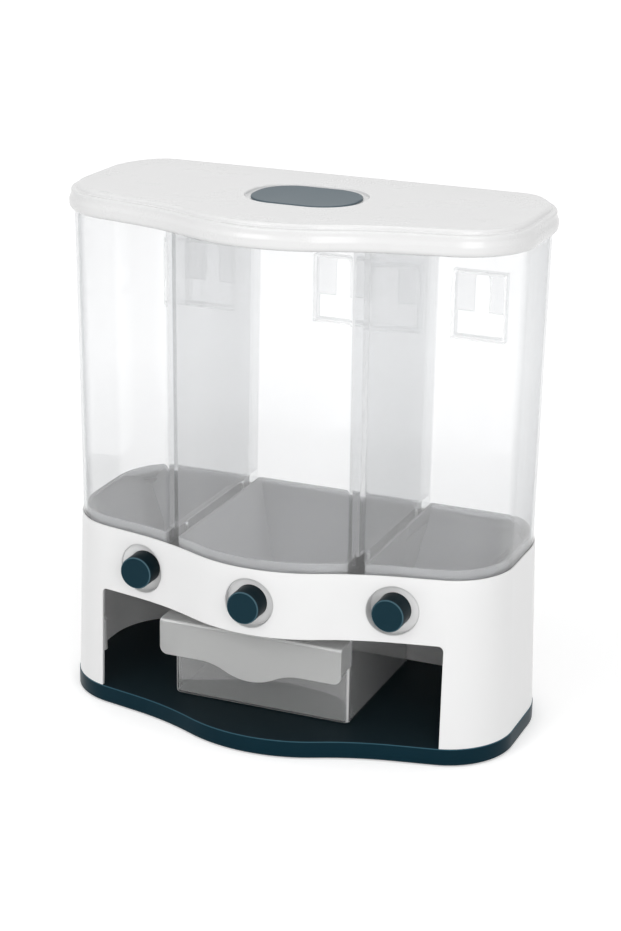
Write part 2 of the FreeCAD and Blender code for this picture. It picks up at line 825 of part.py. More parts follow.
def catch_cup():
    x0, x1 = cup_x - cup_width / 2.0, cup_x + cup_width / 2.0
    floor = plate_top + cup_lift
    top = floor + cup_height
    y1 = depth / 2.0 + housing_out(top) - housing_wall - cup_back_gap
    y0 = y1 - cup_length
    tub = rounded_box(x0, x1, y0, y1, floor, top, cup_corner)
    tub = tub.makeFillet(cup_foot_round, [e for e in tub.Edges if e.BoundBox.ZMax < floor + hair])
    room = rounded_box(x0 + cup_wall, x1 - cup_wall, y0 + cup_wall, y1 - cup_wall,
                       floor + cup_wall, top + past, cup_corner - cup_wall)
    apron = y0 - hood_reach
    fold, thin = hood_fold, hood_fold - hood_wall
    low = top - hood_drop - tongue_drop - past
    lean = math.sqrt(0.5)

    def at(y, z):
        return vec(0, y, z)

    centre_y, centre_z = apron + fold, top - fold
    strip = Part.Wire([
        Part.makeLine(at(y0 + join, top), at(centre_y, top)),
        Part.Arc(at(centre_y, top), at(centre_y - fold * lean, centre_z + fold * lean),
                 at(apron, centre_z)).toShape(),
        Part.makeLine(at(apron, centre_z), at(apron, low)),
        Part.makeLine(at(apron, low), at(apron + hood_wall, low)),
        Part.makeLine(at(apron + hood_wall, low), at(apron + hood_wall, centre_z)),
        Part.Arc(at(apron + hood_wall, centre_z),
                 at(centre_y - thin * lean, centre_z + thin * lean),
                 at(centre_y, top - hood_wall)).toShape(),
        Part.makeLine(at(centre_y, top - hood_wall), at(y0 + join, top - hood_wall)),
        Part.makeLine(at(y0 + join, top - hood_wall), at(y0 + join, top))])
    h0, h1 = cup_x - hood_width / 2.0, cup_x + hood_width / 2.0
    hood = Part.Face(strip).extrude(vec(h1 - h0, 0, 0))
    hood.translate(vec(h0, 0, 0))
    hood = hood.common(hood_outline(h0, h1, top))
    cheeks = [box(*sorted((x, x + turn * hood_wall)), apron + hood_wall - join, y0 + join,
                  top - cheek_drop, top - hood_wall + join) for x, turn in ((h0, 1), (h1, -1))]
    round_front = box(h0, h1, apron, y0 + join, low, top)
    fold_edge = [e for e in round_front.Edges if e.BoundBox.YMax < apron + hair
                 and e.BoundBox.ZMin > top - hair]
    cheeks = [c.common(round_front.makeFillet(fold, fold_edge)) for c in cheeks]
    cup = fuse([tub, hood] + cheeks).cut(room)
    rim = [e for e in cup.Edges if e.BoundBox.ZMin > top - hair and e.BoundBox.YMin > y0 - hair]
    cup = cup.makeFillet(cup_edge_round, rim)
    outline = [e for e in cup.Edges if abs(e.BoundBox.YMin - apron) < hair
               and e.BoundBox.YMax < apron + hair and e.BoundBox.ZMax < top - fold + hair]
    return cup.makeFillet(cup_edge_round, outline)


def hood_outline(h0, h1, top):
    """Front view of the hood: round lower corners and a smooth tongue in the middle."""
    low = top - hood_drop
    tip = low - tongue_drop
    turn = 2.0 * math.atan(tongue_drop / tongue_half_width)
    size = tongue_half_width / (2.0 * math.sin(turn))
    half = math.radians(45.0)
    r = hood_corner

    def at(x, z):
        return vec(x, -far, z)

    def side(sign):
        """One half of the lower edge, from the outer side to the tongue's tip."""
        outer = h1 if sign > 0 else h0
        start = cup_x + sign * tongue_half_width
        bend = cup_x + sign * tongue_half_width / 2.0
        first = at(start - sign * size * math.sin(turn / 2.0), low - size * (1 - math.cos(turn / 2.0)))
        second = at(cup_x + sign * size * math.sin(turn / 2.0), tip + size * (1 - math.cos(turn / 2.0)))
        joint = at(bend, (low + tip) / 2.0)
        return [Part.makeLine(at(outer, top + past), at(outer, low + r)),
                Part.Arc(at(outer, low + r), at(outer - sign * r * (1 - math.cos(half)),
                                                low + r * (1 - math.sin(half))),
                         at(outer - sign * r, low)).toShape(),
                Part.makeLine(at(outer - sign * r, low), at(start, low)),
                Part.Arc(at(start, low), first, joint).toShape(),
                Part.Arc(joint, second, at(cup_x, tip)).toShape()]

    edges = side(-1) + list(reversed(side(1)))
    edges.append(Part.makeLine(at(h1, top + past), at(h0, top + past)))
    return Part.Face(Part.Wire(edges)).extrude(vec(0, 2.0 * far, 0))


def button(side):
    x, face = unit_x(side), unit_face(side)
    cap = along_y(x, axis_z, face, face + button_length, button_radius)
    front = [e for e in cap.Edges if e.BoundBox.YMax < face + hair]
    cap = cap.makeFillet(button_bevel, front)
    inside = face + button_face
    room = along_y(x, axis_z, inside, face + far, button_radius - button_wall)
    boss_end = web_front(side) - stem_length
    boss = along_y(x, axis_z, inside - join, boss_end, stem_radius)
    tap = along_y(x, axis_z, boss_end - screw_bite - tip_room, boss_end + past,
                  screw_radius + screw_tap_gap)
    return fuse([cap.cut(room), boss]).cut(tap)


def gate(side):
    x, front = unit_x(side), web_front(side)
    web_back = front + web_thickness
    land = outlet_y(side) - outlet_length / 2.0 - land_lead
    back = outlet_y(side) + outlet_length / 2.0 + land_trail
    plate = box(x - gate_half, x + gate_half, front, back, gate_bottom, gate_top)
    window = box(x - window_half, x + window_half, web_back, land, low_z, high_z)
    web = box(x - web_half_width, x + web_half_width, front, web_back, gate_bottom,
              axis_z + web_top_over_axis)
    stem = along_y(x, axis_z, front - stem_length, front + join, stem_radius)
    pin = along_y(x, spring_z, web_back - join, web_back + spring_pin_length, spring_pin_radius)
    hole = along_y(x, axis_z, -far, far, screw_radius + screw_hole_gap)
    head = along_y(x, axis_z, web_back - screw_head - screw_sink, far,
                   screw_head_radius + screw_hole_gap)
    return cut(fuse([plate.cut(window), web, stem, pin]), [hole, head])


def button_screw(side):
    x, seat = unit_x(side), web_front(side) + web_thickness - screw_head - screw_sink
    reach = seat - web_front(side) + stem_length + screw_bite
    one = screw(reach)
    one.rotate(vec(0, 0, 0), vec(1, 0, 0), 90)
    one.translate(vec(x, seat, axis_z))
    return one


def arc_from(start, heading, end):
    """Arc that leaves the start along the heading and ends at the end."""
    chord = end - start
    along = vec(chord.x, chord.y, chord.z).normalize()
    lean = heading - along * heading.dot(along)
    bend = math.atan2(lean.Length, heading.dot(along))
    middle = (start + end) * 0.5 + lean.normalize() * (chord.Length / 2.0 * math.tan(bend / 2.0))
    return Part.Arc(start, middle, end).toShape()


def coil_path(radius, length, turns):
    """Middle line of a coil round +Z from Z 0: two tangent arcs for each quarter turn."""
    rise = length / turns / (2.0 * math.pi)
    marks = []
    for quarter_turn in range(4 * turns + 1):
        turned = math.pi / 2.0 * quarter_turn
        spot = vec(radius * math.cos(turned), radius * math.sin(turned), rise * turned)
        heading = vec(-radius * math.sin(turned), radius * math.cos(turned), rise).normalize()
        marks.append((spot, heading))
    arcs = []
    for (start, leaving), (end, arriving) in zip(marks, marks[1:]):
        span, both = end - start, leaving + arriving
        turn = 2.0 * (1.0 - leaving.dot(arriving))
        lead = (math.sqrt(span.dot(both) ** 2 + turn * span.dot(span)) - span.dot(both)) / turn
        before, after = start + leaving * lead, end - arriving * lead
        joint = (before + after) * 0.5
        arcs += [arc_from(start, leaving, joint), arc_from(joint, (after - before).normalize(), end)]
    return Part.Wire(arcs)


def spring(side):
    wire = spring_wire / 2.0
    size = spring_radius - wire
    path = coil_path(size, spring_length - 2.0 * (wire + spring_end_gap), spring_turns)
    section = Part.Wire(Part.makeCircle(wire, vec(size, 0, 0), vec(0, 1, 0)))
    coil = path.makePipeShell([section], True, False)
    coil.rotate(vec(0, 0, 0), vec(1, 0, 0), -90)
    start = web_front(side) + web_thickness + wire + spring_end_gap
    coil.translate(vec(unit_x(side), start, spring_z))
    return coil


nodes = {
    "rubber_feet": rubber_feet(),
    "base_plate": base_plate(),
    "base_screws": screws(base_screw_places(), plate_top - plate_skin, plate_skin + screw_bite),
    "housing": housing(),
    "outlet_deck": outlet_deck(),
    "deck_screws": screws(deck_screw_places, deck_bottom,
                          deck_thickness + deck_boss_height - boss_floor - tip_room),
    "hopper_tray": hopper_tray(),
    "bin": clear_bin(),
    "bin_screws": screws(bin_screw_places, seat_z - bin_boss_height,
                         bin_boss_height + flange_thickness + screw_bite),
    "lid": lid(),
    "lid_gasket": lid_gasket(),
    "lid_handle": lid_handle(),
    "catch_cup": catch_cup(),
}
for name, side in sides:
    nodes[name + "_button"] = button(side)
    nodes[name + "_gate"] = gate(side)
    nodes[name + "_button_screw"] = button_screw(side)
    nodes[name + "_spring"] = spring(side)

os.makedirs("parts", exist_ok=True)
for node, shape in nodes.items():
    shape.translate(vec(0, place_y, 0))
    shape.exportStep("parts/" + node + ".step")
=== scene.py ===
import bmesh
import bpy
import json
import math
from mathutils import Matrix, Vector


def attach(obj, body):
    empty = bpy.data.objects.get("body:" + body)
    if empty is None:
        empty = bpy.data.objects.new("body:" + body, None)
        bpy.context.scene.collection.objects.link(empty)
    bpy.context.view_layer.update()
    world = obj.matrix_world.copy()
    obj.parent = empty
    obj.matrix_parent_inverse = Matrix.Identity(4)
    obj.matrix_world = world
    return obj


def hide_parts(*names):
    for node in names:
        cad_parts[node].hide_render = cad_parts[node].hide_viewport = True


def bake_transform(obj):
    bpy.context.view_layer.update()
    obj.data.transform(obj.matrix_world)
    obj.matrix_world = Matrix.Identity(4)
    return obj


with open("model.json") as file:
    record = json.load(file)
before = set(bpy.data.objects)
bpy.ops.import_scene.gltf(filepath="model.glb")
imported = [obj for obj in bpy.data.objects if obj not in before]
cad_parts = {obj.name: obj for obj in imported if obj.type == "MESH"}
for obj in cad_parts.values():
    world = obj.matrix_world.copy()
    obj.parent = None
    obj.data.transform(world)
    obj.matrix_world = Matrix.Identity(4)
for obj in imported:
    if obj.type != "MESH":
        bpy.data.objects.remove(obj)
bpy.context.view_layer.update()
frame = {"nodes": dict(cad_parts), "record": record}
nodes = frame["nodes"]

# Lengths are written in millimetres and MM turns them into metres
MM = 0.001
# The plan's own middle lies this far behind the frame's
place_y = 2.8
# Corners nearer than this become one
weld = 0.001 * MM
# Two faces that meet at more than this keep a crisp line
crisp = math.radians(32.0)


class Value:
    """A shader socket that can be written in sums."""

    def __init__(self, finish, socket):
        self.finish, self.socket = finish, socket

    def reckon(self, operation, other):
        return self.finish.node("ShaderNodeMath", {"operation": operation}, {0: self, 1: other})

    def __add__(self, other):
        return self.reckon("ADD", other)

    def __mul__(self, other):
        return self.reckon("MULTIPLY", other)

    __radd__ = __add__
    __rmul__ = __mul__


class Finish:
    """The nodes that make the look of one material, or of the world."""

    def __init__(self, block, shader="Principled BSDF"):
        block.use_nodes = True
        self.block, self.tree = block, block.node_tree
        self.shader = self.tree.nodes[shader]

    def node(self, kind, settings=None, sockets=None, out=0):
        """Adds a node and returns one of its outputs."""
        made = self.tree.nodes.new(kind)
        for name, value in (settings or {}).items():
            setattr(made, name, value)
        for name, value in (sockets or {}).items():
            self.put(made.inputs[name], value)
        return Value(self, made.outputs[out])

    def put(self, socket, value):
        """Links a value that comes from a node, and writes any other."""
        if isinstance(value, Value):
            self.tree.links.new(value.socket, socket)
        else:
            socket.default_value = value

    def set(self, **sockets):
        """Sets sockets of the shader itself, with _ for each space in their names."""
        for name, value in sockets.items():
            self.put(self.shader.inputs[name.replace("_", " ")], value)

    def where(self):
        """The place on the object, in metres."""
        return self.node("ShaderNodeTexCoord", out="Object")

    def noise(self, size_mm, detail=3.0, stretch=(1.0, 1.0, 1.0)):
        """Soft noise whose patches are about this many millimetres across."""
        place = self.node("ShaderNodeMapping", None, {"Vector": self.where(), "Scale": stretch})
        return self.node("ShaderNodeTexNoise", None,
                         {"Vector": place, "Scale": 1.0 / (size_mm * MM), "Detail": detail})

    def towards(self, axis):
        """How much the surface faces along an axis, from -1 to 1."""
        normal = self.node("ShaderNodeNewGeometry", out="Normal")
        return self.node("ShaderNodeVectorMath", {"operation": "DOT_PRODUCT"},
                         {0: normal, 1: axis}, out="Value")

    def rise(self, value, none, full):
        """0 where the value is at none, 1 where it is at full."""
        return self.node("ShaderNodeMapRange", None,
                         {"Value": value, "From Min": none, "From Max": full})

    def mix(self, share, first, second):
        return self.node("ShaderNodeMix", {"data_type": "RGBA"},
                         {"Factor": share, "A": first, "B": second}, out="Result")

    def bump(self, height, deep_mm):
        self.set(Normal=self.node("ShaderNodeBump", None, {
            "Height": height, "Strength": 1.0, "Distance": deep_mm * MM}))


def colour(red, green, blue):
    return (red, green, blue, 1.0)


def grey(level):
    return colour(level, level, level)


def moulded(name, low, high, rough, coat, grain_mm, deep_mm, shine=0.5):
    """Moulded plastic: faint clouds in the colour and the gloss, and a fine skin texture."""
    cloud_gloss, grain_gloss = 0.06, 0.03
    finish = Finish(bpy.data.materials.new(name))
    cloud = finish.noise(38.0)
    grain = finish.noise(grain_mm, 2.0)
    smoothest = rough - (cloud_gloss + grain_gloss) / 2.0
    finish.set(Base_Color=finish.mix(cloud, low, high),
               Roughness=cloud * cloud_gloss + grain * grain_gloss + smoothest,
               Coat_Weight=coat, Coat_Roughness=0.06, Specular_IOR_Level=shine)
    finish.bump(grain, deep_mm)
    return finish.block


def see_through(finish, tint, edge, rough, index, share, coat):
    """Makes the shader clear plastic: faint clouds, a slow wave, and its edge colour as painted
    light and shade.
    """
    edge_starts, edge_full = 0.45, 0.97
    cloud = finish.noise(60.0)
    wave = finish.noise(26.0, 1.0)
    facing = finish.node("ShaderNodeLayerWeight", None, {"Blend": 0.5}, out="Facing")
    paler = colour(*[min(1.0, part * 1.012) for part in tint[:3]])
    clean = finish.mix(cloud, tint, paler)
    # Where the surface turns from view the edge colour is painted in: painted shade if darker,
    # painted highlight if paler.
    painted_edge_share = finish.rise(facing, edge_starts, edge_full)
    finish.set(Base_Color=finish.mix(painted_edge_share, clean, edge),
               Roughness=cloud * 0.02 + rough, Transmission_Weight=share, IOR=index,
               Coat_Weight=coat, Coat_Roughness=0.03)
    finish.bump(wave, 0.01)


def clear_plastic(name, **look):
    finish = Finish(bpy.data.materials.new(name))
    see_through(finish, **look)
    return finish.block


def cup_plastic():
    """Clear tub with a frosted hood on its front, and a painted highlight on its rounded rims."""
    hood_start = -42.4
    finish = Finish(bpy.data.materials.new("frosted_cup"))
    depth_at = finish.node("ShaderNodeSeparateXYZ", None, {"Vector": finish.where()}, out="Y")
    front = finish.rise(depth_at, hood_start * MM, (hood_start - 1.0) * MM)
    # 1 on a face square to an axis, and less on a rounded edge
    flatness = 0.0
    for axis in ((1.0, 0.0, 0.0), (0.0, 1.0, 0.0), (0.0, 0.0, 1.0)):
        side = finish.towards(axis)
        square = side * side
        flatness = flatness + square * square
    rounded = finish.rise(flatness, 0.62, 0.5)
    # The tub's white edge colour is a painted highlight.
    see_through(finish, tint=colour(0.93, 0.935, 0.935), edge=grey(1.0), rough=0.05, index=1.12,
                share=0.88, coat=1.0)
    shown = Value(finish, finish.shader.outputs[0])
    # The hood's paler edge colour is a painted highlight.
    hood = {"tint": colour(0.70, 0.705, 0.70), "edge": grey(0.85), "rough": 0.30, "index": 1.12,
            "share": 0.55, "coat": 0.6}
    # The rounded rims' paler, less clear look is a painted highlight.
    rim = {"tint": grey(0.97), "edge": grey(1.0), "rough": 0.25, "index": 1.12, "share": 0.35,
           "coat": 1.0}
    for part, look in ((front, hood), (rounded, rim)):
        over = finish.node("ShaderNodeBsdfPrincipled")
        finish.shader = over.socket.node
        see_through(finish, **look)
        shown = finish.node("ShaderNodeMixShader", None, {0: part, 1: shown, 2: over})
    finish.put(finish.tree.nodes["Material Output"].inputs["Surface"], shown)
    return finish.block


def turned_steel(name, tone, rough):
    """Plated steel with fine turning marks round the upright axis."""
    finish = Finish(bpy.data.materials.new(name))
    marks = finish.noise(0.35, 2.0, (1.0, 1.0, 6.0))
    cloud = finish.noise(3.0)
    finish.set(Base_Color=finish.mix(cloud, grey(tone), grey(tone * 1.18)),
               Roughness=marks * 0.16 + rough, Metallic=1.0)
    finish.bump(marks, 0.01)
    return finish.block


def edged(name, along, sides, edge_highlight, face, rough, face_rough, grain_deep):
    """Dark plastic: a painted highlight on its rounded edge, and painted light and shade on its
    flat face.
    """
    finish = Finish(bpy.data.materials.new(name))
    turn = finish.towards(along)
    flat = finish.rise(turn, 0.93, 0.995)
    highlight_band = finish.rise(turn, 0.1, 0.55)
    cloud = finish.noise(42.0)
    grain = finish.noise(0.55, 2.0)
    # The rounded edge's band takes a paler colour, a painted highlight.
    side = finish.mix(highlight_band, finish.mix(cloud, *sides), edge_highlight)
    # The flat face takes a colour of its own: painted light and shade.
    finish.set(Base_Color=finish.mix(flat, side, finish.mix(cloud, *face)),
               Roughness=flat * face_rough + cloud * 0.05 + rough, Specular_IOR_Level=0.06)
    finish.bump(flat * grain, grain_deep)
    return finish.block


gloss = {"coat": 0.3, "grain_mm": 0.9, "deep_mm": 0.0006}
white = moulded("gloss_white", grey(0.862), grey(0.876), rough=0.30, **gloss)
# The lid's white is a darker copy of the housing's white: painted shade.
shaded_lid_white = moulded("shaded_lid_white", grey(0.79), grey(0.805), rough=0.28, **gloss)
# The bin's dark edge colour is painted shade along its edges.
clear = clear_plastic("clear_wall", tint=colour(0.943, 0.946, 0.950), edge=colour(0.34, 0.36, 0.38),
                      rough=0.02, index=1.06, share=0.93, coat=1.0)
# The tray's dark edge colour is painted shade along its edges.
smoke = clear_plastic("grey_tray", tint=colour(0.64, 0.65, 0.665), edge=grey(0.40), rough=0.24,
                      index=1.2, share=0.6, coat=0.4)
frosted = cup_plastic()
slate = moulded("slate_pad", colour(0.066, 0.100, 0.122), colour(0.076, 0.114, 0.138), rough=0.42,
                coat=0.0, grain_mm=0.5, deep_mm=0.004, shine=0.28)
rubber = moulded("black_rubber", grey(0.018), grey(0.028), rough=0.75, coat=0.0, grain_mm=0.7,
                 deep_mm=0.02)
silicone = moulded("pale_silicone", grey(0.70), grey(0.76), rough=0.5, coat=0.0, grain_mm=0.8,
                   deep_mm=0.01)
plated = turned_steel("plated_screw", 0.62, 0.22)
spring_wire = turned_steel("spring_wire", 0.45, 0.25)
# Buttons: the lighter face is painted light, and the pale edge band a painted highlight.
teal = edged("dark_teal", along=(0.0, -1.0, 0.0),
             sides=(colour(0.003, 0.011, 0.016), colour(0.004, 0.014, 0.019)),
             edge_highlight=colour(0.06, 0.12, 0.15),
             face=(colour(0.007, 0.028, 0.041), colour(0.009, 0.034, 0.048)),
             rough=0.30, face_rough=0.1, grain_deep=0.002)
# Base plate: the darker top face is painted shade, and the pale top edge a painted highlight.
base_teal = edged("base_teal", along=(0.0, 0.0, 1.0),
                  sides=(colour(0.002, 0.019, 0.030), colour(0.003, 0.024, 0.037)),
                  edge_highlight=colour(0.040, 0.105, 0.140),
                  face=(colour(0.007, 0.015, 0.019), colour(0.009, 0.018, 0.023)),
                  rough=0.27, face_rough=0.17, grain_deep=0.01)

# Middle of each unit, and the place of its button's front face
unit_places = {"left": (-99.0, -69.05), "centre": (0.0, -98.0), "right": (99.0, -69.05)}
finish_of = {"lid": shaded_lid_white, "lid_gasket": silicone, "lid_handle": slate, "bin": clear,
             "hopper_tray": smoke, "bin_screws": plated, "housing": white, "outlet_deck": white,
             "deck_screws": plated, "base_plate": base_teal, "base_screws": plated,
             "rubber_feet": rubber, "catch_cup": frosted}
for unit in unit_places:
    finish_of.update({unit + "_button": teal, unit + "_gate": white,
                      unit + "_button_screw": plated, unit + "_spring": spring_wire})
body_of = {node: body for body, members in frame["record"]["behaviour"]["bodies"].items()
           for node in members}


def stand(name, data):
    """A new object in the scene."""
    made = bpy.data.objects.new(name, data)
    bpy.context.scene.collection.objects.link(made)
    return made


def hang(mesh, name, node, between=None):
    """Hangs a finished mesh on the body of the node it stands for, or fixes it where it stands when
    given two bodies.
    """
    piece = stand(name, mesh)
    mesh.materials.clear()
    mesh.materials.append(finish_of[node])
    if between:
        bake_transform(piece)
    else:
        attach(piece, body_of[node])
    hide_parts(node)


def merged(node):
    """The node's own shape, with the corners of its loose triangles made one."""
    shape = bmesh.new()
    shape.from_mesh(nodes[node].data)
    bmesh.ops.remove_doubles(shape, verts=shape.verts, dist=weld)
    return shape


def softened(shape, mesh):
    """Writes a shape into a mesh: smooth, with a crisp line along every sharp or open edge."""
    for face in shape.faces:
        face.smooth = True
    for edge in shape.edges:
        edge.smooth = len(edge.link_faces) == 2 and edge.calc_face_angle(0.0) < crisp
    shape.to_mesh(mesh)
    shape.free()
    return mesh


def smooth_copy(node):
    """Hangs the node's own shape with smooth curved faces."""
    mesh = nodes[node].data.copy()
    mesh.name = node + "_skin"
    hang(softened(merged(node), mesh), node + "_shell", node)


class Shell:
    """A closed skin, built from loops of points in millimetres."""

    def __init__(self, shift_y=place_y):
        self.shape, self.shift_y = bmesh.new(), shift_y

    def loop(self, points):
        made = [self.shape.verts.new(Vector((x, y + self.shift_y, z)) * MM) for x, y, z in points]
        for pair in zip(made, made[1:] + made[:1]):
            self.shape.edges.new(pair)
        return made

    def wrap(self, loops):
        """Joins each loop to the next with a band of faces; returns the first and the last."""
        made = [self.loop(points) for points in loops]
        for low, high in zip(made, made[1:]):
            self.join(low, high)
        return made[0], made[-1]

    def join(self, low, high):
        for k in range(len(low)):
            n = (k + 1) % len(low)
            self.shape.faces.new((low[k], low[n], high[n], high[k]))

    def fill(self, *loops):
        """Flat face bounded by the first loop, with the others as holes."""
        edges = [self.shape.edges.get(pair) for made in loops
                 for pair in zip(made, made[1:] + made[:1])]
        bmesh.ops.triangle_fill(self.shape, use_beauty=True, edges=edges)

    def mesh(self, name):
        bmesh.ops.recalc_face_normals(self.shape, faces=self.shape.faces)
        return softened(self.shape, bpy.data.meshes.new(name))


# Half the plan of the base plate, from the front middle round the right to the back middle.
# Each arc has a radius, a turn in degrees and steps, and a radius below 0 bends inwards.
half_width, depth = 175.0, 182.0
bow, dip, corner = (115.0, 26.0, 28), (-232.0, 14.0, 28), (53.0, 78.0, 36)
sweep, back_corner = (64.0, 43.5, 24), (28.0, 46.5, 16)
straight_steps, back_steps = 6, 10


def plan_runs():
    """The arcs with the two straight runs between them, as (0, length, steps)."""
    across, along, heading = [], [], 0.0
    for radius, turn, _ in (bow, dip, corner, sweep, back_corner):
        start, heading = heading, heading + math.copysign(turn, radius)
        first, last = math.radians(start), math.radians(heading)
        across.append(radius * (math.sin(last) - math.sin(first)))
        along.append(radius * (math.cos(first) - math.cos(last)))
    slant = math.radians(bow[1] - dip[1])
    front = (half_width - across[0] - across[1] - across[2]) / math.cos(slant)
    ahead = along[0] + along[1] + along[2]
    ahead += front * math.sin(slant) + along[3] + along[4]
    return [bow, dip, (0.0, front, straight_steps), corner,
            (0.0, depth - ahead, straight_steps), sweep, back_corner]


runs = plan_runs()


def plan(out, z):
    """Closed outline at a height, grown outwards by out."""
    x, y, heading = 0.0, -depth / 2.0 - out, 0.0
    half = [(x, y)]
    for radius, amount, steps in runs:
        side = -1.0 if radius < 0.0 else 1.0
        size = abs(radius) + side * out
        for step in range(steps):
            if radius == 0.0:
                x += amount / steps * math.cos(heading)
                y += amount / steps * math.sin(heading)
            else:
                turned = heading + side * math.radians(amount) / steps
                x += side * size * (math.sin(turned) - math.sin(heading))
                y -= side * size * (math.cos(turned) - math.cos(heading))
                heading = turned
            half.append((x, y))
    half += [(x * (1.0 - step / back_steps), y) for step in range(1, back_steps + 1)]
    other = [(-x, y) for x, y in reversed(half[1:-1])]
    return [(x, y, z) for x, y in half + other]


def quarter(start, end, rise_first, steps=7):
    """(out, z) places on a quarter round after its start."""
    places = []
    for step in range(1, steps + 1):
        turn = math.pi / 2.0 * step / steps
        shares = (1.0 - math.cos(turn), math.sin(turn))
        a, b = shares if rise_first else shares[::-1]
        places.append((start[0] + (end[0] - start[0]) * a, start[1] + (end[1] - start[1]) * b))
    return places


# Handle pad: an oval of four quarter rounds about its middle, and two pegs
pad_y, pad_radius, pad_steps = 11.6, 27.0, 24
pad_half_x, pad_half_y = 12.5, 4.0
pegs_x, pan_z = (-24.0, 24.0), 391.0


def oval(grown, z):
    """Outline of the handle pad, grown outwards."""
    points = []
    for turn, (side_x, side_y) in enumerate(((1, 1), (-1, 1), (-1, -1), (1, -1))):
        for step in range(pad_steps + 1):
            angle = math.radians(90.0 * turn + 90.0 * step / pad_steps)
            points.append((side_x * pad_half_x + (pad_radius + grown) * math.cos(angle),
                           pad_y + side_y * pad_half_y + (pad_radius + grown) * math.sin(angle),
                           z))
    return points


def disc(x, y, z, radius, steps=32):
    """Level ring of points."""
    return [(x + radius * math.cos(2.0 * math.pi * k / steps),
             y + radius * math.sin(2.0 * math.pi * k / steps), z) for k in range(steps)]


def lid_mesh():
    """Skirt with a bead, a shoulder, a raised crest, and a slightly sunk panel with a pan."""
    foot_z, bead_out, bead_z, bead_steps = 376.3, 1.4, 382.6, 8
    shoulder_z, panel_z, ceiling_z, pan_under_z = 391.1, 393.3, 390.9, 388.6
    lid = Shell()
    outside = [(-1.3, foot_z)] + quarter((-1.3, foot_z), (bead_out, 380.0), False)
    for step in range(bead_steps + 1):
        outside.append((bead_out - bead_out / 2.0 * (1.0 - math.cos(math.pi * step / bead_steps)),
                        bead_z + 0.65 * step))
    outside += [(0.0, 389.3)] + quarter((0.0, 389.3), (-1.8, shoulder_z), True)
    outside += [(-3.4, shoulder_z)] + quarter((-3.4, shoulder_z), (-4.25, 391.9), False)
    outside += quarter((-4.25, 391.9), (-6.9, 394.4), True, 9)
    outside += [(-8.2, 394.38), (-10.5, 394.24), (-26.3, panel_z), (-27.3, panel_z)]
    inside = [(-1.8, foot_z), (-1.8, 389.8), (-5.1, 389.8), (-5.1, 383.3), (-5.4, 383.0),
              (-6.6, 383.0), (-6.9, 383.3), (-6.9, ceiling_z)]
    edge, panel = lid.wrap([plan(out, z) for out, z in outside])
    foot, ceiling = lid.wrap([plan(out, z) for out, z in inside])
    lid.join(edge, foot)
    pan = [(6.3, panel_z), (5.3, panel_z)] + quarter((5.3, panel_z), (4.5, 392.5), False, 4)
    pan += [(4.5, 391.7)] + quarter((4.5, 391.7), (3.8, pan_z), True, 4)
    rim, floor = lid.wrap([oval(grown, z) for grown, z in pan])
    under, bottom = lid.wrap([oval(6.9, ceiling_z), oval(6.9, 389.2), oval(6.3, pan_under_z)])
    holes = [lid.wrap([disc(x, pad_y, z, 3.1) for z in (pan_under_z, pan_z)]) for x in pegs_x]
    lid.fill(panel, rim)
    lid.fill(floor, *[high for low, high in holes])
    lid.fill(ceiling, under)
    lid.fill(bottom, *[low for low, high in holes])
    return lid.mesh("lid_skin")


def handle_mesh():
    """Oval pad with a soft edge and the two pegs that hold it."""
    pad = Shell()
    round_start, top_z = (0.0, 392.2), 392.8
    side = [(-0.4, pan_z), (0.0, 391.3), round_start]
    side += quarter(round_start, (-0.6, top_z), True, 5) + [(-2.4, top_z), (-3.4, 392.72)]
    bottom, top = pad.wrap([oval(grown, z) for grown, z in side])
    peg = ((387.0, 2.6), (387.4, 3.0), (pan_z, 3.0))
    pegs = [pad.wrap([disc(x, pad_y, z, radius) for z, radius in peg]) for x in pegs_x]
    pad.fill(top)
    pad.fill(bottom, *[high for low, high in pegs])
    for low, high in pegs:
        pad.fill(low)
    return pad.mesh("pad_skin")


def spun(profile, steps):
    """Closed turned shape round +Z: (radius, z) places from pole to pole, in millimetres."""
    shape = bmesh.new()
    rings = []
    for radius, z in profile:
        points = disc(0.0, 0.0, z, radius, 1 if radius == 0.0 else steps)
        rings.append([shape.verts.new(Vector(point) * MM) for point in points])
    for low, high in zip(rings, rings[1:]):
        for k in range(steps):
            n = (k + 1) % steps
            corners = [ring[at % len(ring)] for ring, at in
                       ((low, k), (low, n), (high, n), (high, k))]
            shape.faces.new(list(dict.fromkeys(corners)))
    bmesh.ops.recalc_face_normals(shape, faces=shape.faces)
    return shape


# Height of the buttons and their screws
push_z = 116.6


def button_mesh(x, face_y):
    """Push cap with a soft edge, a hollow back and the boss that its screw bites into."""
    soft_start, outer, outer_at = 11.1, 12.25, 1.15
    profile = [(0.0, 0.22), (6.0, 0.16), (10.6, 0.02), (soft_start, 0.0)]
    profile += quarter((soft_start, 0.0), (outer, outer_at), False)
    profile += [(outer, 23.7), (11.95, 24.0), (10.25, 24.0), (10.25, 3.1), (9.65, 2.5), (5.5, 2.5),
                (5.0, 3.0), (5.0, 25.0), (1.55, 25.0), (1.55, 13.0), (0.0, 13.0)]
    shape = spun(profile, 96)
    turn = Matrix.Rotation(math.radians(-90.0), 4, "X")
    shape.transform(Matrix.Translation(Vector((x, face_y + place_y, push_z)) * MM) @ turn)
    return softened(shape, bpy.data.meshes.new("button_skin"))


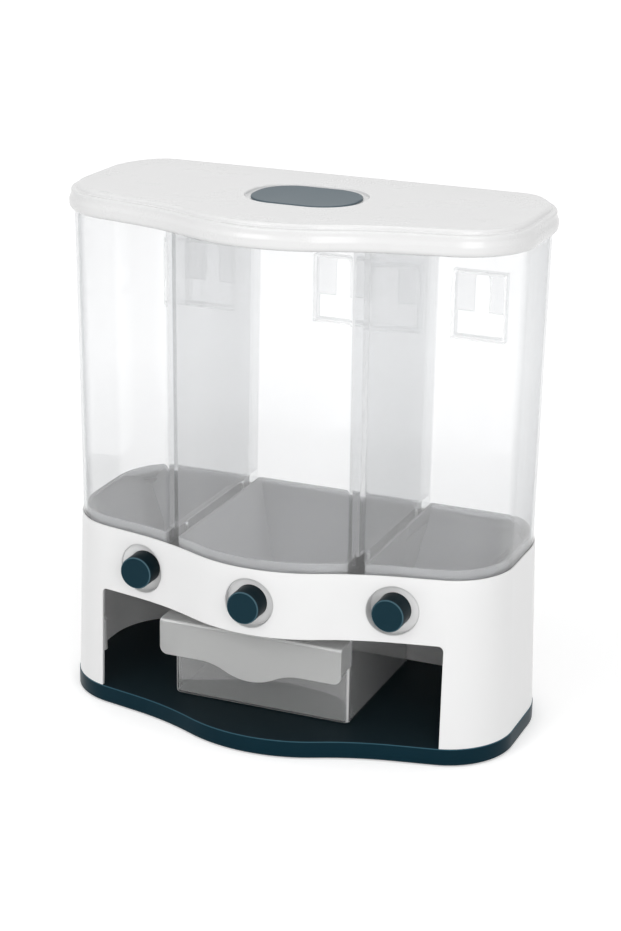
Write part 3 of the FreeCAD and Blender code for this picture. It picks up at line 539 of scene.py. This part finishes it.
class Tree:
    """A Geometry Nodes tree with named sizes, used once to make a plain mesh."""

    def __init__(self, name, sizes):
        self.group = bpy.data.node_groups.new(name, "GeometryNodeTree")
        face = self.group.interface
        for way in ("INPUT", "OUTPUT"):
            face.new_socket("Geometry", in_out=way, socket_type="NodeSocketGeometry")
        self.values = {}
        for label, (kind, value) in sizes.items():
            made = face.new_socket(label, in_out="INPUT", socket_type=kind)
            self.values[made.identifier] = value
        self.start = self.group.nodes.new("NodeGroupInput")
        self.end = self.group.nodes.new("NodeGroupOutput")

    def size(self, label):
        return self.start.outputs[label]

    def node(self, kind, sockets, settings=None):
        """Adds a node; a socket takes a value, another socket or a node's first output."""
        made = self.group.nodes.new(kind)
        for name, value in (settings or {}).items():
            setattr(made, name, value)
        for name, value in sockets.items():
            if isinstance(value, bpy.types.NodeSocket):
                self.group.links.new(value, made.inputs[name])
            elif isinstance(value, bpy.types.Node):
                self.group.links.new(value.outputs[0], made.inputs[name])
            else:
                made.inputs[name].default_value = value
        return made

    def finish(self, geometry):
        """Ends the tree with real geometry in its material."""
        real = self.node("GeometryNodeRealizeInstances", {"Geometry": geometry})
        coloured = self.node("GeometryNodeSetMaterial",
                             {"Geometry": real, "Material": self.size("Finish")})
        self.group.links.new(coloured.outputs[0], self.end.inputs[0])

    def copies(self, part, turn):
        """Sets a copy of the part at every point of the mesh that comes in."""
        points = self.node("GeometryNodeMeshToPoints", {"Mesh": self.size("Geometry")})
        self.finish(self.node("GeometryNodeInstanceOnPoints",
                              {"Points": points, "Instance": part, "Rotation": turn}))

    def make(self, points, edges, name):
        """Runs the tree on loose points or lines, in millimetres, and returns the mesh."""
        seed = bpy.data.meshes.new(name + "_places")
        seed.from_pydata([Vector((x, y + place_y, z)) * MM for x, y, z in points], edges, [])
        holder = stand(name + "_places", seed)
        modifier = holder.modifiers.new("tree", "NODES")
        modifier.node_group = self.group
        for identifier, value in self.values.items():
            modifier[identifier] = value
        now = bpy.context.evaluated_depsgraph_get()
        made = bpy.data.meshes.new_from_object(holder.evaluated_get(now))
        holder.modifiers.remove(modifier)
        bpy.data.objects.remove(holder)
        made.name = name
        shape = bmesh.new()
        shape.from_mesh(made)
        return softened(shape, made)


def placed(shape, turn, spots, name, node):
    """Sets a copy of a small part at every spot and hangs them all as one piece."""
    bmesh.ops.recalc_face_normals(shape, faces=shape.faces)
    part = bpy.data.objects.new("small_part", bpy.data.meshes.new("small_part"))
    shape.to_mesh(part.data)
    shape.free()
    tree = Tree("set_in_places", {"Part": ("NodeSocketObject", part),
                                  "Turn": ("NodeSocketRotation", turn),
                                  "Finish": ("NodeSocketMaterial", finish_of[node])})
    part_shape = tree.node("GeometryNodeObjectInfo", {"Object": tree.size("Part")})
    tree.copies(part_shape.outputs["Geometry"], tree.size("Turn"))
    made = tree.make(spots, [], name + "_skin")
    bpy.data.objects.remove(part)
    hang(made, name, node)


# Turns of the small parts: as drawn, or with their upper side to the front
upright, forward = (0.0, 0.0, 0.0), (math.radians(90.0), 0.0, 0.0)
head_height = 2.2


def screw_shape(length):
    """Pan head below, with a round edge and a cross recess, and a plain shank with a blunt tip."""
    def cross(arm, half, z):
        corners = [(arm, -half), (arm, half), (half, half), (half, arm), (-half, arm),
                   (-half, half)]
        return [(x, y, z) for x, y in corners + [(-x, -y) for x, y in corners]]

    shank, head, round_start = 1.5, 2.9, -1.2
    screw = Shell(0.0)
    places = [(0.9, length), (shank, length - 0.8), (shank, 0.0), (head, 0.0), (head, round_start)]
    places += quarter((head, round_start), (1.9, -head_height), True, 5)
    tip, crown = screw.wrap([disc(0.0, 0.0, z, radius, 28) for radius, z in places])
    mouth, floor = screw.wrap([cross(1.75, 0.4, -head_height), cross(1.5, 0.28, -1.1)])
    screw.fill(crown, mouth)
    screw.fill(tip)
    screw.fill(floor)
    return screw.shape


def foot_shape():
    """Foot with a soft lower edge and two grip grooves."""
    groove, radius, height = 0.35, 8.0, 3.0
    return spun([(0.0, 0.0), (2.6, 0.0), (2.8, groove), (3.4, groove), (3.6, 0.0), (5.4, 0.0),
                 (5.6, groove), (6.2, groove), (6.4, 0.0), (7.6, 0.0), (7.9, 0.12), (radius, 0.4),
                 (radius, height), (0.0, height)], 48)


# Spring: its size at rest, how far behind the button's face it starts, and its height
coil_turns, coil_radius, coil_length, wire_radius = 8.0, 3.55, 28.9, 0.45
spring_behind, spring_z = 39.55, 104.0


def wound(spot, name, node, pushed):
    """Winds a spring along +Y at its length at rest and fixes it where it stands; pushed is not
    used.
    """
    tree = Tree("wind_spring", {"Turns": ("NodeSocketFloat", coil_turns),
                                "Radius": ("NodeSocketFloat", coil_radius * MM),
                                "Length": ("NodeSocketFloat", coil_length * MM),
                                "Wire": ("NodeSocketFloat", wire_radius * MM),
                                "Finish": ("NodeSocketMaterial", finish_of[node])})
    line = tree.node("GeometryNodeCurveSpiral", {
        "Resolution": 28, "Rotations": tree.size("Turns"), "Start Radius": tree.size("Radius"),
        "End Radius": tree.size("Radius"), "Height": tree.size("Length")})
    section = tree.node("GeometryNodeCurvePrimitiveCircle",
                        {"Resolution": 10, "Radius": tree.size("Wire")})
    coil = tree.node("GeometryNodeCurveToMesh",
                     {"Curve": line, "Profile Curve": section, "Fill Caps": True})
    tree.copies(coil, (math.radians(-90.0), 0.0, 0.0))
    start = Vector((spot[0], spot[1] + place_y, spot[2])) * MM
    end = start + Vector((0.0, coil_length * MM, 0.0))
    hang(tree.make([spot], [], name + "_skin"), name, node, (pushed, "root", start, end))


# Sealing ring: its section, and how far it lies from the base plate's plan and at what height
ring_width, ring_height, ring_round = 2.7, 2.5, 0.5
ring_out, ring_z = -3.45, 388.55


def sealed(line, name, node):
    """Sweeps the ring's section along a closed line and hangs it."""
    tree = Tree("sweep_section", {"Width": ("NodeSocketFloat", ring_width * MM),
                                  "Height": ("NodeSocketFloat", ring_height * MM),
                                  "Edge Round": ("NodeSocketFloat", ring_round * MM),
                                  "Finish": ("NodeSocketMaterial", finish_of[node])})
    path = tree.node("GeometryNodeMeshToCurve", {"Mesh": tree.size("Geometry")})
    block = tree.node("GeometryNodeCurvePrimitiveQuadrilateral",
                      {"Width": tree.size("Width"), "Height": tree.size("Height")})
    section = tree.node("GeometryNodeFilletCurve",
                        {"Curve": block, "Count": 4, "Radius": tree.size("Edge Round")},
                        {"mode": "POLY"})
    tree.finish(tree.node("GeometryNodeCurveToMesh", {"Curve": path, "Profile Curve": section}))
    edges = [(k, (k + 1) % len(line)) for k in range(len(line))]
    hang(tree.make(line, edges, name + "_skin"), name, node)


def parted(node):
    """Low and high corner of each loose part of a node, in millimetres and in the plan's place."""
    shape = merged(node)
    left, boxes = set(shape.verts), []
    while left:
        group, waiting = [], [left.pop()]
        while waiting:
            group.append(waiting.pop())
            near = {edge.other_vert(group[-1]) for edge in group[-1].link_edges} & left
            waiting += near
            left -= near
        spots = [vert.co / MM - Vector((0.0, place_y, 0.0)) for vert in group]
        boxes.append([Vector([pick(spot[axis] for spot in spots) for axis in range(3)])
                      for pick in (min, max)])
    shape.free()
    return sorted(boxes, key=lambda corners: tuple(corners[0]))


def middles(boxes, raised):
    """Middle of each box in plan, raised this far over its foot."""
    return [((low.x + high.x) / 2.0, (low.y + high.y) / 2.0, low.z + raised)
            for low, high in boxes]


for node in ("bin", "hopper_tray", "housing", "outlet_deck", "base_plate", "catch_cup",
             "left_gate", "centre_gate", "right_gate"):
    smooth_copy(node)
hang(lid_mesh(), "lid_shell", "lid")
hang(handle_mesh(), "handle_pad", "lid_handle")
sealed(plan(ring_out, ring_z), "sealing_ring", "lid_gasket")
for node in ("base_screws", "deck_screws", "bin_screws"):
    boxes = parted(node)
    low, high = boxes[0]
    placed(screw_shape(high.z - low.z - head_height), upright, middles(boxes, head_height),
           node + "_set", node)
placed(foot_shape(), upright, middles(parted("rubber_feet"), 0.0), "foot_set", "rubber_feet")
for unit, (x, face) in unit_places.items():
    hang(button_mesh(x, face), unit + "_cap", unit + "_button")
    low, high = parted(unit + "_button_screw")[0]
    placed(screw_shape(high.y - low.y - head_height), forward,
           [(x, high.y - head_height, push_z)], unit + "_cap_screw", unit + "_button_screw")
    wound((x, face + spring_behind, spring_z), unit + "_return_spring", unit + "_spring",
          unit + "_push")


# Camera at the photograph's angle, found by fitting the plan's edges to the picture
image_height, sensor = 931, 36.0
focal = 2266.85
azimuth, height, roll = math.radians(22.176), math.radians(18.798), math.radians(0.921)
target = Vector((10.784, place_y, 194.998)) * MM
distance = 1664.25 * MM
back = Vector((math.sin(azimuth) * math.cos(height), -math.cos(azimuth) * math.cos(height),
               math.sin(height)))
level = Vector((math.cos(azimuth), math.sin(azimuth), 0.0))
above = back.cross(level)
right = level * math.cos(roll) + above * math.sin(roll)
up = above * math.cos(roll) - level * math.sin(roll)
camera = stand("camera", bpy.data.cameras.new("camera"))
camera.matrix_world = Matrix((right, up, back)).transposed().to_4x4()
camera.location = target + back * distance
camera.data.sensor_width = sensor
camera.data.lens = focal / image_height * sensor
camera.data.clip_start, camera.data.clip_end = 0.05, 30.0
bpy.context.scene.camera = camera


def straight_or_mirrored(finish, through_share):
    """1 for a straight or mirrored look, a share through clear plastic, 0 for spread light."""
    path = finish.node("ShaderNodeLightPath").socket.node.outputs
    straight, mirrored, through = [Value(finish, path[name]) for name in
                                   ("Is Camera Ray", "Is Glossy Ray", "Is Transmission Ray")]
    return straight + mirrored + through * through_share


def paper():
    """White floor that keeps the soft shadow of the object."""
    near, far = 0.35, 1.0
    finish = Finish(bpy.data.materials.new("white_floor"))
    away = finish.node("ShaderNodeVectorMath", {"operation": "LENGTH"}, {0: finish.where()},
                       out="Value")
    glow = finish.mix(finish.rise(away, near, far), grey(0.38), grey(0.62))
    finish.set(Base_Color=grey(0.9), Roughness=0.9, Specular_IOR_Level=0.0,
               Emission_Color=finish.mix(straight_or_mirrored(finish, 0.45), grey(0.0), glow),
               Emission_Strength=1.0)
    return finish.block


floor_reach = 8.0
floor_mesh = bpy.data.meshes.new("floor")
floor_mesh.from_pydata([(x * floor_reach, y * floor_reach, 0.0)
                        for x, y in ((-1, -1), (1, -1), (1, 1), (-1, 1))], [], [(0, 1, 2, 3)])
floor_mesh.materials.append(paper())
stand("floor", floor_mesh)

world = bpy.data.worlds.new("studio")
bpy.context.scene.world = world
sky = Finish(world, "Background")
sky.set(Color=sky.mix(straight_or_mirrored(sky, 1.0), grey(0.50), grey(1.0)), Strength=1.0)


def lamp(name, place, size, power):
    """Square lamp that shines at the middle of the object, in metres and watts."""
    aim = Vector((0.0, 0.0, 0.2))
    light = bpy.data.lights.new(name, "AREA")
    light.energy, light.size = power, size
    made = stand(name, light)
    made.location = place
    made.rotation_mode = "QUATERNION"
    made.rotation_quaternion = (Vector(place) - aim).to_track_quat("Z", "Y")


lamp("key_left", (-0.8, -2.0, 1.5), 1.0, 11.0)
lamp("fill_right", (1.3, -1.7, 1.0), 1.2, 14.5)
lamp("top_soft", (0.1, -0.4, 2.3), 1.4, 9.0)

bpy.context.scene.view_settings.view_transform = "Standard"
